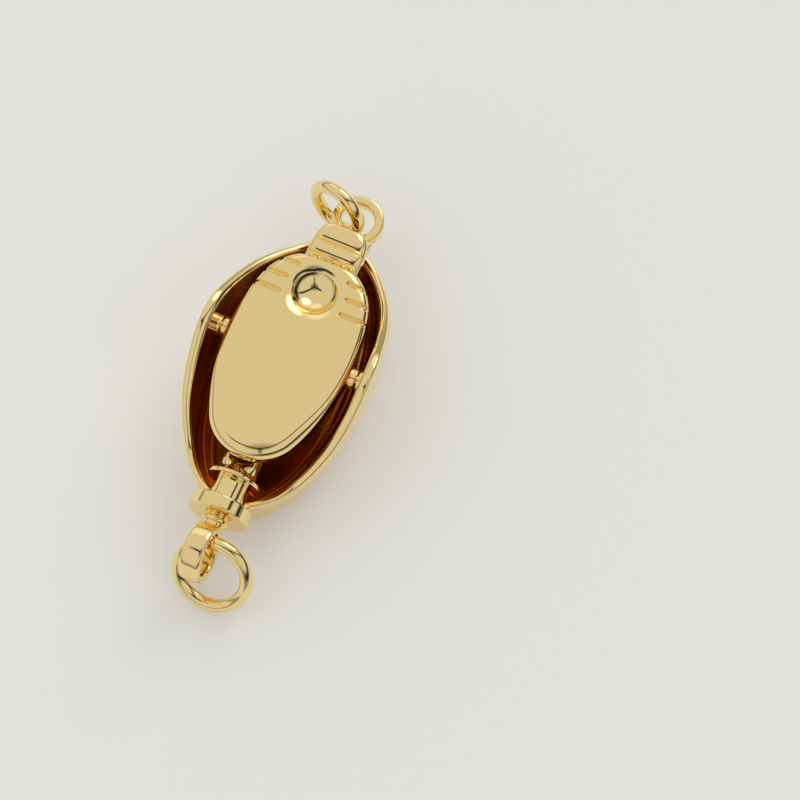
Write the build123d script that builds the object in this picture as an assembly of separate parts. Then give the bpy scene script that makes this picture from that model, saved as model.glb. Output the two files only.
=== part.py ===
"""Oval connector clasp: a deep cup with a rocking lever, a turned swivel post and two jump rings.

Millimetres, +Z up. The clasp lies on its domed front face, so the lever side is up. The origin is the
lowest point of the dome. +Y runs to the fixed eye, -Y to the swivel post, and X is along the hinge pin.
"""
from build123d import *
from math import sqrt
import os

# Shell: size of the arched rim, the front's shoulder and the walls between them
RIM_LENGTH = 17.7
RIM_WIDTH = 10.75
RIM_END_HEIGHT = 3.25
RIM_PEAK_HEIGHT = 7.1
RIM_PEAK_RADIUS = 2.8
RIM_END_RADIUS = 2.6
EYE_END_LEVEL = 1.1
POST_END_LEVEL = 2.2
SIDE_WALL = 0.65
END_WALL = 0.45
RIM_ROUND = 0.22
SHOULDER_LENGTH = 17.9
SHOULDER_WIDTH = 9.24
SHOULDER_HEIGHT = 0.8
SHOULDER_ROUND = 0.3
WALL_UPRIGHT_HEIGHT = 4.6
WALL_CURVE = 1.5

# Front of the shell: a shallow dome on a raised cushion, and the hollow behind it
CUSHION_LENGTH = 16.9
CUSHION_WIDTH = 7.9
CUSHION_ROUND = 0.3
CUSHION_FLARE = 0.15
DOME_RISE = 0.45
FLOOR_HEIGHT = 1.45
POCKET_FLOOR = 0.7
POCKET_FLARE = 0.45

# Hinge: a pin across the shell under the rim's peak
HINGE_Y = 0.6
HINGE_DEPTH = 1.25
PIN_DIAMETER = 0.6
PIN_FIT = 0.01
PIN_RUNNING_FIT = 0.04
PIN_END_RECESS = 0.04
BOSS_DIAMETER = 1.25
BOSS_GAP = 0.06
SHELL_BOSS_REACH = 0.4
EAR_MARGIN = 0.1

# Lever: plan size from the nose to the root of the tab, and its heights
LEVER_WIDTH = 7.8
LEVER_NOSE_Y = -6.55
LEVER_ROOT_Y = 6.5
LEVER_WIDEST_Y = 0.6
LEVER_NOSE_RADIUS = 2.95
LEVER_SHOULDER_RADIUS = 3.4
LEVER_SINK = 0.95
LEVER_PLATE = 0.45
LEVER_SKIRT = 1.1
LEVER_SKIRT_WALL = 0.45
LEVER_EDGE_ROUND = 0.6

# Tab of the lever, with two pillow ribs across it
TAB_WIDTH = 3.3
TAB_SHOULDER = 0.1
TAB_END_Y = 9.0
TAB_DROP = 0.73
TAB_THICKNESS = 0.74
TAB_ROUND = 0.2
TAB_CORNER = 0.55
RIB_WIDTH = 2.5
RIB_FLARE = 0.28
RIB_RISE = 0.34
RIB_ROUND = 0.2
FAR_RIB_LENGTH = 0.92
NEAR_RIB_LENGTH = 0.7
RIB_GROOVE = 0.26

# Thumb dimple and grip grooves of the lever
DIMPLE_Y = 4.3
DIMPLE_DIAMETER = 2.86
DIMPLE_DEPTH = 0.62
DIMPLE_WALL = 0.36
GROOVE_WIDTH = 0.32
GROOVE_DEPTH = 0.13
GROOVE_PITCH = 0.98
GROOVE_FIRST_Y = 3.76
GROOVE_INNER_X = [1.82, 1.77, 1.46]

# Swivel post: a turned piece on an axis along Y
POST_HEIGHT = 3.2
SHAFT_DIAMETER = 2.06
SHAFT_FIT = 0.05
COLLAR_CLEARANCE = 0.15
COLLAR_DIAMETER = 3.72
COLLAR_THICKNESS = 0.88
COLLAR_ROUND = 0.1
FLANGE_DIAMETER = 3.28
FLANGE_THICKNESS = 0.22
FLANGE_Y = -7.5
HEAD_LENGTH = 1.48
HEAD_DIAMETER = 2.2
HEAD_WAIST_SHARE = 0.3
HEAD_WAIST_RISE = 0.11
HEAD_FLARE_SLOPE = -3
SCOOP_DEPTH = 0.75
SCOOP_LIP = 0.055
NECK_LENGTH = 0.14
NECK_DIAMETER = 1.36
BEAD_LENGTH = 0.34
BEAD_DIAMETER = 1.74

# Eyes and jump rings
POST_EYE_DIAMETER = 3.54
POST_EYE_WALL = 0.52
POST_EYE_THICKNESS = 1.3
POST_EYE_TURN = 6.0
POST_EYE_ROUND = 0.2
FIXED_EYE_DIAMETER = 3.16
FIXED_EYE_WALL = 0.6
FIXED_EYE_THICKNESS = 0.86
FIXED_EYE_REACH = 1.5
FIXED_EYE_NECK = 2.7
FIXED_EYE_ROUND = 0.22
RING_WIRE = 0.8
SMALL_RING_DIAMETER = 4.15
SMALL_RING_OFFSET = (-1.36, 0.14, 0.5)
SMALL_RING_NORMAL = (-0.31, -0.935, 0.17)
LARGE_RING_DIAMETER = 5.0
LARGE_RING_OFFSET_Y = -0.62
LARGE_RING_NORMAL = (0.0, -0.8, 0.6)
LARGE_RING_SIDE_GAP = 0.07
LARGE_RING_FLOOR_GAP = 0.03

# Values that follow from the sizes above
half_length = RIM_LENGTH / 2
half_width = RIM_WIDTH / 2
inner_half_width = half_width - SIDE_WALL
above = RIM_PEAK_HEIGHT + 2
beyond = 1.0
overlap = 0.05
pin_radius = PIN_DIAMETER / 2
notch_radius = SHAFT_DIAMETER / 2 + SHAFT_FIT
collar_radius = COLLAR_DIAMETER / 2
lever_top = RIM_PEAK_HEIGHT - LEVER_SINK
hinge_height = lever_top - HINGE_DEPTH
tab_top = lever_top - TAB_DROP
tab_bottom = tab_top - TAB_THICKNESS


def oval(width, length, height, inset=0.0):
    """Oval face of a full width and length, drawn in by an inset, at a height."""
    return Pos(0, 0, height) * Ellipse(width / 2 - inset, length / 2 - inset)


def wall_oval(height, side_wall, end_wall):
    """Oval of the shell's leaning wall at a height, less a wall at the sides and the ends."""
    share = max(0.0, (WALL_UPRIGHT_HEIGHT - height) / (WALL_UPRIGHT_HEIGHT - SHOULDER_HEIGHT)) ** WALL_CURVE
    width = RIM_WIDTH + (SHOULDER_WIDTH - RIM_WIDTH) * share
    length = RIM_LENGTH + (SHOULDER_LENGTH - RIM_LENGTH) * share
    return oval(width - 2 * side_wall, length - 2 * end_wall, height)


def cup(bottom, side_wall, end_wall):
    """Solid inside the shell's wall, from a height to above the rim."""
    step = (WALL_UPRIGHT_HEIGHT - bottom) / 3
    heights = [bottom, bottom + step, bottom + 2 * step, WALL_UPRIGHT_HEIGHT, above]
    return loft([wall_oval(z, side_wall, end_wall) for z in heights])


def across_x(radius, start, end, y, height):
    """Cylinder along X between two places."""
    axis = Plane(origin=(start, y, height), z_dir=(1, 0, 0))
    return extrude(axis * Circle(radius), end - start)


def arc_radius(half_span, rise):
    """Radius of an arc over half a span with a rise."""
    return (half_span ** 2 + rise ** 2) / (2 * rise)


def cushion():
    """Raised front face: an oval block with steep sides under a barrel shaped dome, its edge rounded."""
    top = FLOOR_HEIGHT
    foot = oval(CUSHION_WIDTH, CUSHION_LENGTH, 0)
    block = loft([foot, oval(CUSHION_WIDTH, CUSHION_LENGTH, top, -CUSHION_FLARE)], ruled=True)
    across = arc_radius(CUSHION_WIDTH / 2, DOME_RISE)
    along = arc_radius(CUSHION_LENGTH / 2, DOME_RISE)
    reach = half_width
    rise = across - sqrt(across ** 2 - reach ** 2)
    arc = ThreePointArc((-reach, 0, rise), (0, 0, 0), (reach, 0, rise))
    lid = Polyline((reach, 0, rise), (reach, 0, above), (-reach, 0, above), (-reach, 0, rise))
    barrel = revolve(make_face([arc, lid]), Axis((0, 0, along), (1, 0, 0)), 360)
    domed = block & barrel
    edge = domed.edges().filter_by(lambda e: e.center().Z < top - overlap and e.length > half_width)
    return fillet(edge, CUSHION_ROUND)


def rim_cut():
    """Everything above the arched rim: straight slopes, a rounded peak and level ends."""
    end = half_length + beyond
    eye_foot = half_length - EYE_END_LEVEL
    post_foot = POST_END_LEVEL - half_length
    level = RIM_END_HEIGHT
    lean = (RIM_PEAK_HEIGHT - level) / (eye_foot - HINGE_Y)
    peak = RIM_PEAK_HEIGHT + RIM_PEAK_RADIUS * (sqrt(1 + lean ** 2) - 1)
    corners = [(end, level), (eye_foot, level), (HINGE_Y, peak), (post_foot, level), (-end, level)]
    curve = FilletPolyline(*corners, radius=[RIM_END_RADIUS, RIM_PEAK_RADIUS, RIM_END_RADIUS])
    lid = Polyline((-end, level), (-end, above + beyond), (end, above + beyond), (end, level))
    section = Plane.YZ * make_face([curve, lid])
    return extrude(section, half_width + beyond, both=True)


def rounded_rim(body):
    """Round the inner and outer edges of the arched rim, whose faces are the ones that look upwards."""
    low = RIM_END_HEIGHT - overlap
    upward = 0.6
    tops = [f for f in body.faces() if f.normal_at(f.center()).Z > upward and f.center().Z > low]
    seen = []
    for face in tops:
        seen.extend(face.edges())
    single = [e for e in seen if sum(e.is_same(other) for other in seen) == 1]
    return fillet(single, RIM_ROUND)


def fixed_eye():
    """Flat eye with rounded edges soldered to the +Y end, a round disc on a neck."""
    centre = half_length + FIXED_EYE_REACH
    radius = FIXED_EYE_DIAMETER / 2
    neck = centre - half_length + END_WALL
    plan = Pos(0, centre) * Circle(radius) + Pos(0, centre - neck / 2) * Rectangle(FIXED_EYE_NECK, neck)
    low = POST_HEIGHT - FIXED_EYE_THICKNESS / 2
    plate = Pos(0, 0, low) * extrude(plan, FIXED_EYE_THICKNESS)
    plate = plate - Pos(0, centre, POST_HEIGHT) * Cylinder(radius - FIXED_EYE_WALL, FIXED_EYE_THICKNESS * 2)
    return fillet(plate.edges().filter_by(GeomType.CIRCLE), FIXED_EYE_ROUND)


def post_notch():
    """Open notch for the post's shaft in the -Y end, with a flat seat round it for the collar."""
    end = -SHOULDER_LENGTH / 2 - beyond
    inner = -half_length + END_WALL + beyond
    round_end = Plane(origin=(0, end, POST_HEIGHT), z_dir=(0, 1, 0)) * Circle(notch_radius)
    mouth = Pos(0, (end + inner) / 2, POST_HEIGHT + above / 2) * Box(2 * notch_radius, inner - end, above)
    seat = Plane(origin=(0, end, POST_HEIGHT), z_dir=(0, 1, 0)) * Circle(collar_radius + COLLAR_CLEARANCE)
    return extrude(round_end, inner - end) + mouth + extrude(seat, -half_length - end)


def make_shell():
    """Cup with cushion, rim, notch, hinge bosses and the soldered fixed eye."""
    outside = cup(SHOULDER_HEIGHT, 0, 0)
    front = outside.faces().sort_by(Axis.Z)[0]
    outside = fillet(front.edges(), SHOULDER_ROUND) + cushion()
    inside = cup(FLOOR_HEIGHT, SIDE_WALL, END_WALL)
    body = rounded_rim(outside - inside - rim_cut())
    pocket = loft([
        oval(CUSHION_WIDTH, CUSHION_LENGTH, POCKET_FLOOR, SIDE_WALL),
        oval(CUSHION_WIDTH, CUSHION_LENGTH, FLOOR_HEIGHT + overlap, SIDE_WALL - POCKET_FLARE)], ruled=True)
    body = body - pocket + (fixed_eye() - inside)
    boss_face = inner_half_width - SHELL_BOSS_REACH
    for side in (-1, 1):
        wall = side * (half_width - SIDE_WALL / 2)
        boss = across_x(BOSS_DIAMETER / 2, side * boss_face, wall, HINGE_Y, hinge_height)
        reach = side * (half_width + beyond)
        hole = across_x(pin_radius + PIN_FIT, side * (boss_face - beyond), reach, HINGE_Y, hinge_height)
        body = body + boss - hole
    return body - post_notch()


def make_pin():
    """Plain pin through both walls of the shell, its ends just under the outer surface."""
    reach = half_width - PIN_END_RECESS
    return across_x(pin_radius, -reach, reach, HINGE_Y, hinge_height)


def toward(start, through, reach):
    """Point at a distance from a start along the line through another point."""
    step = (Vector(*through) - Vector(*start)).normalized() * reach
    return (start[0] + step.X, start[1] + step.Y)


def circle_meeting(first, first_reach, second, second_reach):
    """Where two circles meet, on the left of the way from the first centre to the second."""
    gap = Vector(*second) - Vector(*first)
    along = (first_reach ** 2 - second_reach ** 2 + gap.length ** 2) / (2 * gap.length)
    aside = sqrt(first_reach ** 2 - along ** 2)
    unit = gap.normalized()
    return (first[0] + unit.X * along + unit.Y * aside, first[1] + unit.Y * along - unit.X * aside)


def lever_plan(inset):
    """Plan of the lever's plate in tangent arcs: a round nose, long sides and shoulders to the tab."""
    wide = LEVER_WIDTH / 2
    nose = (0, LEVER_NOSE_Y + LEVER_NOSE_RADIUS)
    drop = LEVER_WIDEST_Y - nose[1]
    slack = wide - LEVER_NOSE_RADIUS
    side_radius = (wide ** 2 + drop ** 2 - LEVER_NOSE_RADIUS ** 2) / (2 * slack)
    side = (wide - side_radius, LEVER_WIDEST_Y)
    root = (TAB_WIDTH / 2 + TAB_SHOULDER, LEVER_ROOT_Y)
    shoulder = circle_meeting(side, side_radius - LEVER_SHOULDER_RADIUS, root, LEVER_SHOULDER_RADIUS)
    reach = LEVER_SHOULDER_RADIUS - inset
    top = LEVER_ROOT_Y - inset
    end = (shoulder[0] + sqrt(reach ** 2 - (top - shoulder[1]) ** 2), top)
    low = toward(side, nose, side_radius - inset)
    high = toward(side, shoulder, side_radius - inset)
    between = ((high[0] + end[0]) / 2, (high[1] + end[1]) / 2)
    arcs = [
        ThreePointArc(low, (wide - inset, LEVER_WIDEST_Y), high),
        ThreePointArc(high, toward(shoulder, between, reach), end)]
    flipped = [mirror(arc, Plane.YZ) for arc in arcs]
    front = ThreePointArc((-low[0], low[1]), (0, LEVER_NOSE_Y + inset), low)
    back = Line(end, (-end[0], end[1]))
    return make_face([front, *arcs, back, *flipped])


def rib(middle, length):
    """Pillow rib across the tab, its sides leaning out to the tab's edges."""
    foot = Pos(0, middle, tab_top - overlap) * Rectangle(RIB_WIDTH + 2 * RIB_FLARE, length)
    crest = Pos(0, middle, tab_top + RIB_RISE) * Rectangle(RIB_WIDTH, length - RIB_ROUND)
    block = loft([foot, crest], ruled=True)
    return fillet(block.edges().group_by(Axis.Z)[-1], RIB_ROUND)


def tab():
    """Ribbed tab over the shell's end, the corners of its free end rounded."""
    start = LEVER_ROOT_Y - LEVER_SKIRT_WALL
    reach = TAB_END_Y - start
    base = Pos(0, start + reach / 2, tab_bottom + TAB_THICKNESS / 2) * Box(TAB_WIDTH, reach, TAB_THICKNESS)
    upper = base.edges().group_by(Axis.Z)[-1]
    base = fillet(upper.filter_by(Axis.Y) + upper.sort_by(Axis.Y)[-1:], TAB_ROUND)
    far_middle = TAB_END_Y - FAR_RIB_LENGTH / 2
    near_middle = TAB_END_Y - FAR_RIB_LENGTH - RIB_GROOVE - NEAR_RIB_LENGTH / 2
    ribbed = base + rib(far_middle, FAR_RIB_LENGTH) + rib(near_middle, NEAR_RIB_LENGTH)
    plan = Pos(0, start + reach / 2) * Rectangle(TAB_WIDTH, reach)
    plan = fillet(plan.vertices().group_by(Axis.Y)[-1], TAB_CORNER)
    return ribbed & Pos(0, 0, tab_bottom) * extrude(plan, above)


def hinge_ears():
    """Pair of ears with round bosses that carry the lever on the pin."""
    outer = LEVER_WIDTH / 2 - EAR_MARGIN / 2
    inner = outer - LEVER_SKIRT_WALL
    boss_face = inner_half_width - SHELL_BOSS_REACH - BOSS_GAP
    radius = BOSS_DIAMETER / 2 + EAR_MARGIN
    web_height = lever_top - LEVER_PLATE / 2 - hinge_height
    ears = []
    for side in (-1, 1):
        ear = across_x(radius, side * inner, side * outer, HINGE_Y, hinge_height)
        web = Pos(side * (inner + outer) / 2, HINGE_Y, hinge_height + web_height / 2)
        boss = across_x(BOSS_DIAMETER / 2, side * inner, side * boss_face, HINGE_Y, hinge_height)
        ears.append(ear + web * Box(LEVER_SKIRT_WALL, 2 * radius, web_height) + boss)
    return ears


def make_lever():
    """Pressed cap with a hollow underside, hinge ears, dimple, grip grooves and tab."""
    low = lever_top - LEVER_SKIRT
    cap = Pos(0, 0, low) * extrude(lever_plan(0), LEVER_SKIRT)
    rim = cap.faces().sort_by(Axis.Z)[-1].edges().filter_by(GeomType.CIRCLE)
    cap = fillet(rim, LEVER_EDGE_ROUND)
    depth = LEVER_SKIRT - LEVER_PLATE
    hollow = Pos(0, 0, low - beyond) * extrude(lever_plan(LEVER_SKIRT_WALL), depth + beyond)
    ball = arc_radius(DIMPLE_DIAMETER / 2, DIMPLE_DEPTH)
    bowl = Pos(0, DIMPLE_Y, lever_top - DIMPLE_DEPTH + ball)
    under = Pos(0, 0, low) * extrude(lever_plan(LEVER_SKIRT_WALL / 2), depth + LEVER_PLATE / 2)
    body = cap - hollow + (bowl * Sphere(ball + DIMPLE_WALL) & under) - bowl * Sphere(ball)
    radius = arc_radius(GROOVE_WIDTH / 2, GROOVE_DEPTH)
    height = lever_top - GROOVE_DEPTH + radius
    for row, inner in enumerate(GROOVE_INNER_X):
        y = GROOVE_FIRST_Y + row * GROOVE_PITCH
        for side in (-1, 1):
            start = side * (inner + GROOVE_WIDTH / 2)
            body = body - across_x(radius, start, side * LEVER_WIDTH, y, height)
            body = body - Pos(start, y, height) * Sphere(radius)
    for ear in hinge_ears():
        body = body + ear
    reach = half_width
    return body - across_x(pin_radius + PIN_RUNNING_FIT, -reach, reach, HINGE_Y, hinge_height) + tab()


def post_stations():
    """Places along Y where the post's collar, bead and eye begin and end."""
    collar_in = -half_length - SHAFT_FIT
    collar_out = collar_in - COLLAR_THICKNESS
    bead_in = collar_out - NECK_LENGTH
    bead_out = bead_in - BEAD_LENGTH
    eye = bead_out - NECK_LENGTH / 2 - POST_EYE_DIAMETER / 2
    return collar_in, collar_out, bead_in, bead_out, eye


def make_post():
    """Turned post: scooped head, flange, shaft, collar, neck, bead and a drilled eye."""
    flange_in = FLANGE_Y + FLANGE_THICKNESS
    head_end = flange_in + HEAD_LENGTH
    collar_in, collar_out, bead_in, bead_out, eye_y = post_stations()
    head, neck, bead, shaft, flange = [
        d / 2 for d in (HEAD_DIAMETER, NECK_DIAMETER, BEAD_DIAMETER, SHAFT_DIAMETER, FLANGE_DIAMETER)]
    waist = (flange_in + HEAD_LENGTH * HEAD_WAIST_SHARE, head + HEAD_WAIST_RISE)
    slopes = [(1, HEAD_FLARE_SLOPE), (1, 0)]
    flare = Spline((flange_in, flange), waist, (head_end, head), tangents=slopes)
    steps = Polyline(
        (head_end, head), (head_end, 0), (eye_y, 0), (eye_y, neck), (bead_out, neck), (bead_out, bead),
        (bead_in, bead), (bead_in, neck), (collar_out, neck), (collar_out, collar_radius),
        (collar_in, collar_radius), (collar_in, shaft), (FLANGE_Y, shaft), (FLANGE_Y, flange),
        (flange_in, flange))
    upright = Plane(origin=(0, 0, POST_HEIGHT), x_dir=(0, 1, 0), z_dir=(1, 0, 0))
    turned = revolve(upright * make_face([flare, steps]), Axis((0, 0, POST_HEIGHT), (0, 1, 0)), 360)
    circles = turned.edges().filter_by(GeomType.CIRCLE)
    turned = fillet(circles.group_by(lambda e: e.radius)[-1], COLLAR_ROUND)
    scoop = arc_radius(head - SCOOP_LIP, SCOOP_DEPTH)
    scoop_middle = head_end - SCOOP_DEPTH + scoop
    turned = turned - Pos(0, scoop_middle, POST_HEIGHT) * Cylinder(scoop, HEAD_DIAMETER * 2)
    eye_place = Pos(0, eye_y, POST_HEIGHT) * Rot(0, 90 - POST_EYE_TURN, 0)
    hole = Cylinder(POST_EYE_DIAMETER / 2 - POST_EYE_WALL, POST_EYE_THICKNESS * 2)
    disc = Cylinder(POST_EYE_DIAMETER / 2, POST_EYE_THICKNESS) - hole
    disc = fillet(disc.edges().filter_by(GeomType.CIRCLE), POST_EYE_ROUND)
    stem = turned - eye_place * Cylinder(POST_EYE_DIAMETER / 2 - POST_EYE_ROUND, POST_EYE_THICKNESS * 2)
    return stem + eye_place * disc


def ring(diameter, centre, normal):
    """Round wire ring about a centre, its plane square to a normal."""
    major = diameter / 2 - RING_WIRE / 2
    return Plane(origin=centre, z_dir=normal) * Torus(major, RING_WIRE / 2)


def make_small_ring():
    """Ring standing in the fixed eye and leaning to the -X side."""
    eye = Vector(0, half_length + FIXED_EYE_REACH, POST_HEIGHT)
    return ring(SMALL_RING_DIAMETER, eye + Vector(*SMALL_RING_OFFSET), SMALL_RING_NORMAL)


def make_large_ring():
    """Ring round one side of the post's eye, leaning with its far edge on the surface."""
    normal = Vector(*LARGE_RING_NORMAL).normalized()
    major = LARGE_RING_DIAMETER / 2 - RING_WIRE / 2
    side = major - RING_WIRE / 2 - POST_EYE_THICKNESS / 2 - LARGE_RING_SIDE_GAP
    height = major * sqrt(1 - normal.Z ** 2) + RING_WIRE / 2 + LARGE_RING_FLOOR_GAP
    eye_y = post_stations()[-1]
    return ring(LARGE_RING_DIAMETER, (side, eye_y + LARGE_RING_OFFSET_Y, height), tuple(normal))


os.makedirs("parts", exist_ok=True)
nodes = {
    "shell": make_shell(),
    "hinge_pin": make_pin(),
    "lever": make_lever(),
    "swivel_post": make_post(),
    "fixed_end_jump_ring": make_small_ring(),
    "swivel_end_jump_ring": make_large_ring(),
}
for name, solid in nodes.items():
    export_step(solid, f"parts/{name}.step")
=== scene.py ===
"""Polished gold connector clasp lying on its domed front, with its lever side up."""

import math

import bmesh
import bpy
import numpy as np
from mathutils import Matrix, Vector


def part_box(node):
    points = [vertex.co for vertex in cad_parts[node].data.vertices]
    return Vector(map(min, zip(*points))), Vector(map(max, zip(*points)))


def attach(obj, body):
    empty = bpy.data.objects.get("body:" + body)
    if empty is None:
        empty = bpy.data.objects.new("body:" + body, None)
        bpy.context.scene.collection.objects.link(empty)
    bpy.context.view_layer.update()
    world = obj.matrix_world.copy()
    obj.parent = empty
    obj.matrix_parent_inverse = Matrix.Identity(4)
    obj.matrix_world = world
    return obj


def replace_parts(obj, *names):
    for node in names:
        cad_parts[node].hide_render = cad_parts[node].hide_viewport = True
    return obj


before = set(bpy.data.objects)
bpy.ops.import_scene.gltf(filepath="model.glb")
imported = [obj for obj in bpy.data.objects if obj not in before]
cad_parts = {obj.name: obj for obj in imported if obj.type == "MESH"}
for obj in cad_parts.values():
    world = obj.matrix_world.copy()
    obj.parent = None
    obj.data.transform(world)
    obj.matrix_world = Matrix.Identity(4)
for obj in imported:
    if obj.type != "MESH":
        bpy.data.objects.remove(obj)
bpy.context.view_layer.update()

MM = 0.001

# Camera: where it stands as seen from the clasp, how the picture is turned, and the field it takes in
CAMERA_TOWARDS = (0.1467, -0.3239)
CAMERA_TURN_DEG = 25.106
CAMERA_DISTANCE = 330 * MM
PIXELS_PER_MM = 16.9934
ORIGIN_IN_PICTURE = (287.41, 392.04)
PICTURE_SIZE = 800
FIELD_WIDTH = PICTURE_SIZE / PIXELS_PER_MM * MM
SENSOR = 36.0

# Points of the surfaces: rows along a shape, columns round it, and the widest gap along turned parts. Rings
# have their points round the ring and round its section.
CUP_COLUMNS = 480
FACE_ROWS = 22
FACE_EDGE_ROWS = 12
SHOULDER_ROWS = 14
WALL_ROWS = 26
RIDGE_ROWS = 18
INNER_WALL_ROWS = 16
BOWL_ROWS = 11
FLOOR_ROWS = 12
NOSE_ROWS = 48
PLAIN_ROWS = 57
DETAIL_ROWS = 144
ROOT_ROWS = 7
LEVER_COLUMNS = 310
SKIRT_COLUMNS = 6
HOLLOW_COLUMNS = 24
TAB_ROWS = 110
TAB_CORNER_ROWS = 33
TAB_COLUMNS = 110
TAB_SKIRT_COLUMNS = 5
TAB_UNDER_COLUMNS = 7
FLARE_ROWS = 26
POST_COLUMNS = 112
PIN_COLUMNS = 48
BOSS_COLUMNS = 64
EYE_POINTS = (160, 72)
RING_POINTS = (240, 48)
BAR_COLUMNS = 64
POST_SPACING = 0.05
PIN_SPACING = 0.2
BOSS_SPACING = 0.1
BAR_SPACING = 0.3
ARC_STEPS = 7
RIM_ARC_STEPS = 40
BAR_ARC_STEPS = 5
RIM_TRIES = 5

# Points nearer than this are one point, a way shorter than this has no direction, and a normal that
# reaches this far along Z is upright
SAME_PLACE = 1e-4
NO_WAY = 1e-9
UPRIGHT = 0.9

# Shell, in millimetres: ovals by half width and half length, and heights
RIM_OVAL = (5.375, 8.85)
SHOULDER_OVAL = (4.62, 8.95)
CUSHION_OVAL = (3.95, 8.45)
DOME_RISE = 0.45
FACE_INSETS = (0.97, 0.1)
FACE_EDGE_INSET = 0.095
CUSHION_ROUND = 0.3
SHOULDER_HEIGHT = 0.8
SHOULDER_ROUND = 0.3
WALL_UPRIGHT_HEIGHT = 4.6
WALL_CURVE = 1.5
WALL_FOOT_SHARE = 0.02
SIDE_WALL = 0.65
END_WALL = 0.45
RIDGE_HEIGHT = 0.32
RIDGE_LEAN = 1.5
FLOOR_OVAL = (3.0, 7.4)
FLOOR_HEIGHT = 0.75
FLOOR_SHARES = (0.9, 0.05)
BOWL_ROUND = 1.3

# Arched rim, seen from the side: level ends, straight slopes and a rounded peak
RIM_END_HEIGHT = 3.25
RIM_PEAK_HEIGHT = 7.1
RIM_PEAK_RADIUS = 2.8
RIM_FOOT_RADIUS = 2.6
EYE_END_LEVEL = 1.1
POST_END_LEVEL = 2.2
RIM_LINE_END = 10.0
NOTCH_RADIUS = 1.08
POST_HEIGHT = 3.2
COLLAR_SEAT_GAP = 0.15

# Hinge across the shell
HINGE_Y = 0.6
HINGE_HEIGHT = 4.9
PIN_RADIUS = 0.3
PIN_ROUND = 0.08
PIN_PROUD = 0.015
BOSS_RADIUS = 0.625
BOSS_ROUND = 0.08
SHELL_BOSS = (4.32, 4.95)
LEVER_BOSS = (3.5, 4.26)
EAR = (3.3, 3.72)
EAR_RADIUS = 0.7
EAR_WEB_FOOT = 5.25
EAR_WEB_TOP = 5.5
EAR_WEB_HALF = 0.58

# Lever cap: plan in tangent arcs, heights and edge rounds
LEVER_TOP = 6.15
LEVER_LOW = 5.05
LEVER_HALF_WIDTH = 3.9
LEVER_NOSE_Y = -6.55
LEVER_NOSE_RADIUS = 2.95
LEVER_SHOULDER_RADIUS = 3.4
LEVER_ROOT = (1.75, 6.28)
NOSE_LENGTH = 1.6
DETAIL_FROM_Y = 2.6
LEVER_CROWN = 0.05
EDGE_DROP = 0.42
EDGE_REACH = 0.55
DROOP_REACH = 1.6
DROOP_SLOPE = 0.4
DROOP_PLACE = (-1.6, -4.4)
ROOT_ROUND = 0.16
PLATE = 0.45
SKIRT_WALL = 0.45
SKIRT_STEP = 0.15
SKIRT_ROW_GAP = 0.05
HOLLOW_REACH = 0.92

# Dimple and grip grooves in the lever
DIMPLE_Y = 4.22
DIMPLE_RADIUS = 1.35
DIMPLE_BOWL = 0.66
DIMPLE_WALL = 0.26
DIMPLE_LIP = 0.85
DIMPLE_LIP_SLOPE = 0.42
GROOVE_FIRST_Y = 3.54
GROOVE_PITCH = 0.98
GROOVE_INNER_X = (1.82, 1.77, 1.46)
GROOVE_HALF_WIDTH = 0.17
GROOVE_DEPTH = 0.2
GROOVE_POWER = 1.1

# Ribbed tab of the lever
TAB_START = 6.05
TAB_END = 9.0
TAB_HALF_WIDTH = 1.65
TAB_TOP = 5.42
TAB_LOW = 4.68
TAB_CORNER = 0.85
TAB_TAPER = 0.14
TAB_TAPER_PLACE = (7.3, 8.7)
TAB_EDGE = 0.3
TAB_EDGE_DROP = 0.22
RIB_INSET = 0.14
RIB_RISE = 0.36
RIB_ROLL = 0.5
RIB_SLOPE = 0.44
RIB_FAR_ROUND = 0.12
RIBS = ((6.8, 7.52), (7.72, 9.3))
KNURL_PITCH = 0.5
KNURL_RISE = 0.1
KNURL_PLACE = (6.56, 0.13)

# Swivel post, along Y: each turned part by its outer end, inner end and radius, and the drilled eye
COLLAR = (-9.78, -8.9, 1.86)
BEAD = (-10.26, -9.92, 0.87)
FLANGE = (-7.5, -7.28, 1.64)
NECK_RADIUS = 0.68
NECK_SINK = 0.15
SHAFT_RADIUS = 1.03
FLARE_REACH = 0.25
FLARE_FOOT = 0.06
FLANGE_ROUNDS = (0.1, 0.03)
COLLAR_ROUNDS = (0.03, 0.12, 0.12, 0.04)
BEAD_ROUNDS = (0.03, 0.14, 0.14, 0.03)
NECK_END_ROUND = 0.05
HEAD_END = (-5.8, 1.1)
HEAD_SQUARENESS = 0.5
HEAD_SQUARE_START = (-7.0, -6.5)
SCOOP_DEPTH = 0.75
SCOOP_LIP = 0.055
POST_EYE_Y = -12.1
POST_EYE_RADII = (1.25, 1.77)
POST_EYE_HALF = 0.65
POST_EYE_TURN_DEG = 6.0

# Sections: a superellipse's power is 1 when round and falls towards 0 for a block
ROUND = 1.0
EYE_SQUARENESS = 0.52
WEB_SQUARENESS = 0.35
NECK_SQUARENESS = 0.2
BAR_END_ROUND = 0.08

# Fixed eye and jump rings
FIXED_EYE_Y = 10.35
FIXED_EYE_RADII = (0.98, 1.58)
FIXED_EYE_HALF = 0.43
FIXED_EYE_NECK = 1.35
NECK_OVERLAP = 0.1
RING_WIRE_RADIUS = 0.4
SMALL_RING_RADIUS = 1.625
SMALL_RING_NORMAL = (-0.31, -0.935, 0.17)
LARGE_RING_RADIUS = 2.1
LARGE_RING_NORMAL = (0.0, -0.8, 0.6)

# Gold plate outside, and the satin inside of the shell, whose darker brown colour is painted shade for the
# hollow
GOLD = (0.98, 0.77, 0.36)
GOLD_ROUGHNESS = (0.035, 0.075)
POLISH_SCALE = 900.0
SHADED_INSIDE_GOLD = (0.74, 0.34, 0.09)
INSIDE_ROUGHNESS = (0.13, 0.2)

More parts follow.
